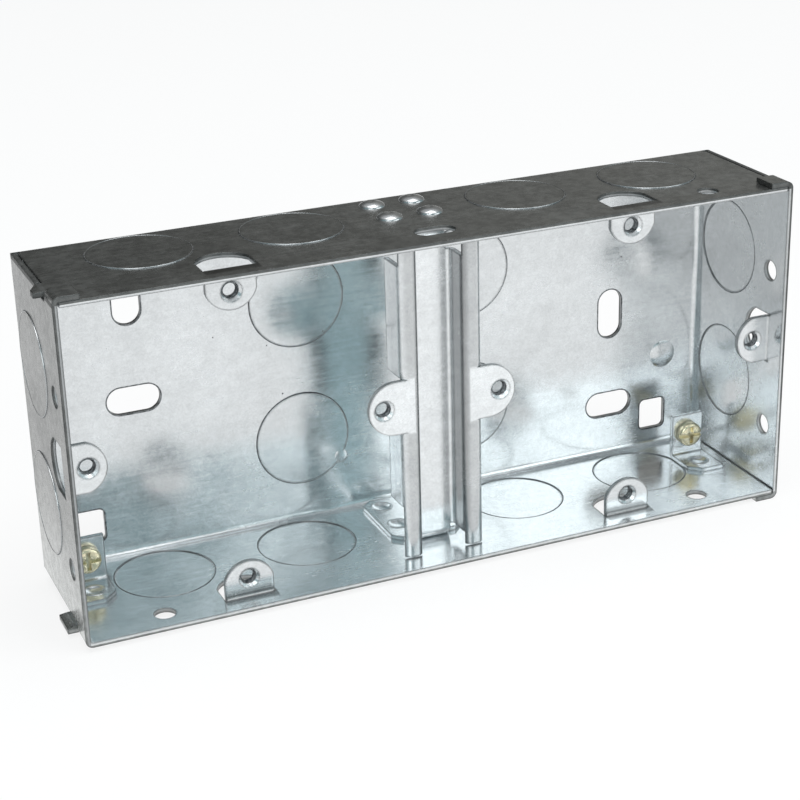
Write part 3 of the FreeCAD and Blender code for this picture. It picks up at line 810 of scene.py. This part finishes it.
def terminal_screw(side, material):
    """Pan-head brass screw with a slotted and crossed recess and a real thread."""
    low, high = (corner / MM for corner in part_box(f"earth_screw_{side}"))
    x, z = (low.x + high.x) / 2, (low.z + high.z) / 2
    head, length = (high.x - low.x) / 2, high.y - low.y
    profile = [(ON_AXIS, 0.0)] + [(head * share, deep) for share, deep in HEAD_CROWN]
    profile += [(head, HEAD_HIGH - HEAD_EASE), (head - HEAD_EASE, HEAD_HIGH), (SCREW_CORE, HEAD_HIGH),
                (SCREW_CORE, length - SCREW_POINT), (SCREW_CORE - SCREW_POINT_IN, length), (ON_AXIS, length)]
    form = bmesh.new()
    lathe(form, profile, (x, low.y, z), REAR, SCREW_STEPS)
    bmesh.ops.remove_doubles(form, verts=form.verts, dist=SCREW_WELD * MM)
    screw = piece(f"terminal_screw_{side}", form, [material])
    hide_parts(f"earth_screw_{side}")

    middle, deep = (x, low.y + (SLIT_DEEP - CUT_AHEAD) / 2, z), SLIT_DEEP + CUT_AHEAD
    slit, cross = (SLIT_LONG * head, deep, SLIT_WIDE), (SLIT_WIDE, deep, CROSS_LONG * head)
    cut_away(screw, [(middle, slit), (middle, cross)])
    form = bmesh.new()
    form.from_mesh(screw.data)
    start = (x, low.y + HEAD_HIGH + SCREW_THREAD_AHEAD, z)
    helix(form, start, REAR, SCREW_CORE - THREAD_SINK, SCREW_CREST, SCREW_PITCH,
          length - HEAD_HIGH - SCREW_THREAD_SHORT)
    form.to_mesh(screw.data)
    form.free()


def clothe(node, material):
    """Gives a solid its only material."""
    node.data.materials.clear()
    node.data.materials.append(material)


def dress():
    """Materials of the solids, and the fine pieces that are added to them."""
    body_zinc = zinc("zinc_sheet", value_of("zinc_sheet"), BODY_CUT)
    bracket_zinc = zinc("bracket_sheet", value_of("bracket_sheet"), BRACKET_CUT)
    brass_plate = brass("brass", BRASS)
    divider_colour = scaled(value_of("divider_sheet"), DIVIDER_LIGHT)
    divider_zinc = zinc("divider_sheet", divider_colour, DIVIDER_CUT, ridged=True)
    clothe(nodes["box_body"], body_zinc)
    clothe(nodes["centre_divider"], divider_zinc)
    for side in ("left", "right"):
        clothe(nodes[f"earth_bracket_{side}"], bracket_zinc)
        clothe(nodes[f"earth_screw_{side}"], brass_plate)
        terminal_screw(side, brass_plate)
    torn_zinc = sheared("sheared_zinc")
    # Painted shade: the lips and buttons get a darker copy of the zinc.
    shaded_lip_zinc = zinc("shaded_lip_zinc", scaled(value_of("zinc_sheet"), LIP_SHADE), BODY_CUT, worn_and_shaded=False)
    knockout_seams(shaded_lip_zinc, torn_zinc)
    slot_lines(torn_zinc)
    lug_threads(torn_zinc)
    clinch_buttons(shaded_lip_zinc)
    back_pressings(body_zinc)
    clinch_cups(divider_zinc, bracket_zinc)


def seen_directly(n):
    """1 for what the eye, metal and glass see, 0 for the light that bounces on."""
    path = n.add("ShaderNodeLightPath").outputs
    return n.most(path["Is Camera Ray"], path["Is Glossy Ray"], path["Is Transmission Ray"])


def floor():
    """Pale round floor under the box, lifted towards white where it is seen."""
    mesh = bpy.data.meshes.new("floor")
    form = bmesh.new()
    bmesh.ops.create_circle(form, cap_ends=True, segments=FLOOR_STEPS, radius=FLOOR_RADIUS)
    form.to_mesh(mesh)
    form.free()
    plate = bpy.data.objects.new("floor", mesh)
    plate.location = (0, 0, cad_low.z)
    bpy.context.scene.collection.objects.link(plate)
    material, n = new_material("floor_white")
    plain = n.add("ShaderNodeBsdfDiffuse", Color=FLOOR_COLOUR)
    white = n.add("ShaderNodeEmission", Color=WHITE, Strength=1.0)
    both = n.add("ShaderNodeMixShader", Fac=n.product(seen_directly(n), FLOOR_LIFT))
    n.put(both.inputs[1], plain.outputs[0])
    n.put(both.inputs[2], white.outputs[0])
    n.add("ShaderNodeOutputMaterial", Surface=both.outputs[0])
    mesh.materials.append(material)


def sky():
    """Room round the studio: white below the horizon, dim behind, cool in front, bright overhead."""
    world = bpy.data.worlds.new("studio")
    world.use_nodes = True
    bpy.context.scene.world = world
    n = Nodes(world.node_tree)
    axes = n.axes(n.add("ShaderNodeTexCoord").outputs["Generated"])
    behind = n.mix(n.ramp(axes["X"], *SKY_RIGHT), BACK_SKY, BACK_SKY_RIGHT)
    side = n.mix(n.ramp(axes["Y"], *SKY_BACK), FRONT_SKY, behind)
    room = n.mix(n.ramp(axes["Z"], *SKY_TOP), side, TOP_SKY)
    whole = n.mix(n.ramp(axes["Z"], *SKY_HORIZON), WHITE, room)
    light = n.add("ShaderNodeBackground", Color=whole, Strength=1.0)
    n.add("ShaderNodeOutputWorld", Surface=light.outputs[0])


def softbox(name, azimuth, elevation, distance, wide, high, radiance):
    """Area lamp aimed at the box; azimuth is from -Y towards +X, in degrees."""
    lamp = bpy.data.lights.new(name, "AREA")
    lamp.shape = "RECTANGLE"
    lamp.size, lamp.size_y = wide, high
    lamp.energy = radiance * math.pi * wide * high
    a, e = math.radians(azimuth), math.radians(elevation)
    away = Vector((math.sin(a) * math.cos(e), -math.cos(a) * math.cos(e), math.sin(e)))
    holder = bpy.data.objects.new(name, lamp)
    holder.location = away * distance
    holder.rotation_mode = "QUATERNION"
    holder.rotation_quaternion = (-away).to_track_quat("-Z", "Y")
    bpy.context.scene.collection.objects.link(holder)


def camera():
    """Camera at the photograph's viewing angle."""
    lens = bpy.data.cameras.new("camera")
    lens.sensor_fit = "HORIZONTAL"
    lens.angle = math.radians(CAMERA_FIELD)
    lens.clip_start = CAMERA_NEAR * MM
    eye = bpy.data.objects.new("camera", lens)
    turn = Matrix.Rotation(-math.radians(CAMERA_YAW), 4, "Z")
    turn = turn @ Matrix.Rotation(math.radians(90 - CAMERA_PITCH), 4, "X")
    turn = turn @ Matrix.Rotation(math.radians(CAMERA_ROLL), 4, "Z")
    eye.matrix_world = Matrix.Translation(Vector(CAMERA_PLACE) * MM) @ turn
    bpy.context.scene.collection.objects.link(eye)
    bpy.context.scene.camera = eye


dress()
floor()
sky()
for name, setting in SOFTBOXES.items():
    softbox(name, *setting)
camera()
bpy.context.scene.view_settings.view_transform = "Standard"
bpy.context.scene.cycles.glossy_bounces = GLOSSY_BOUNCES
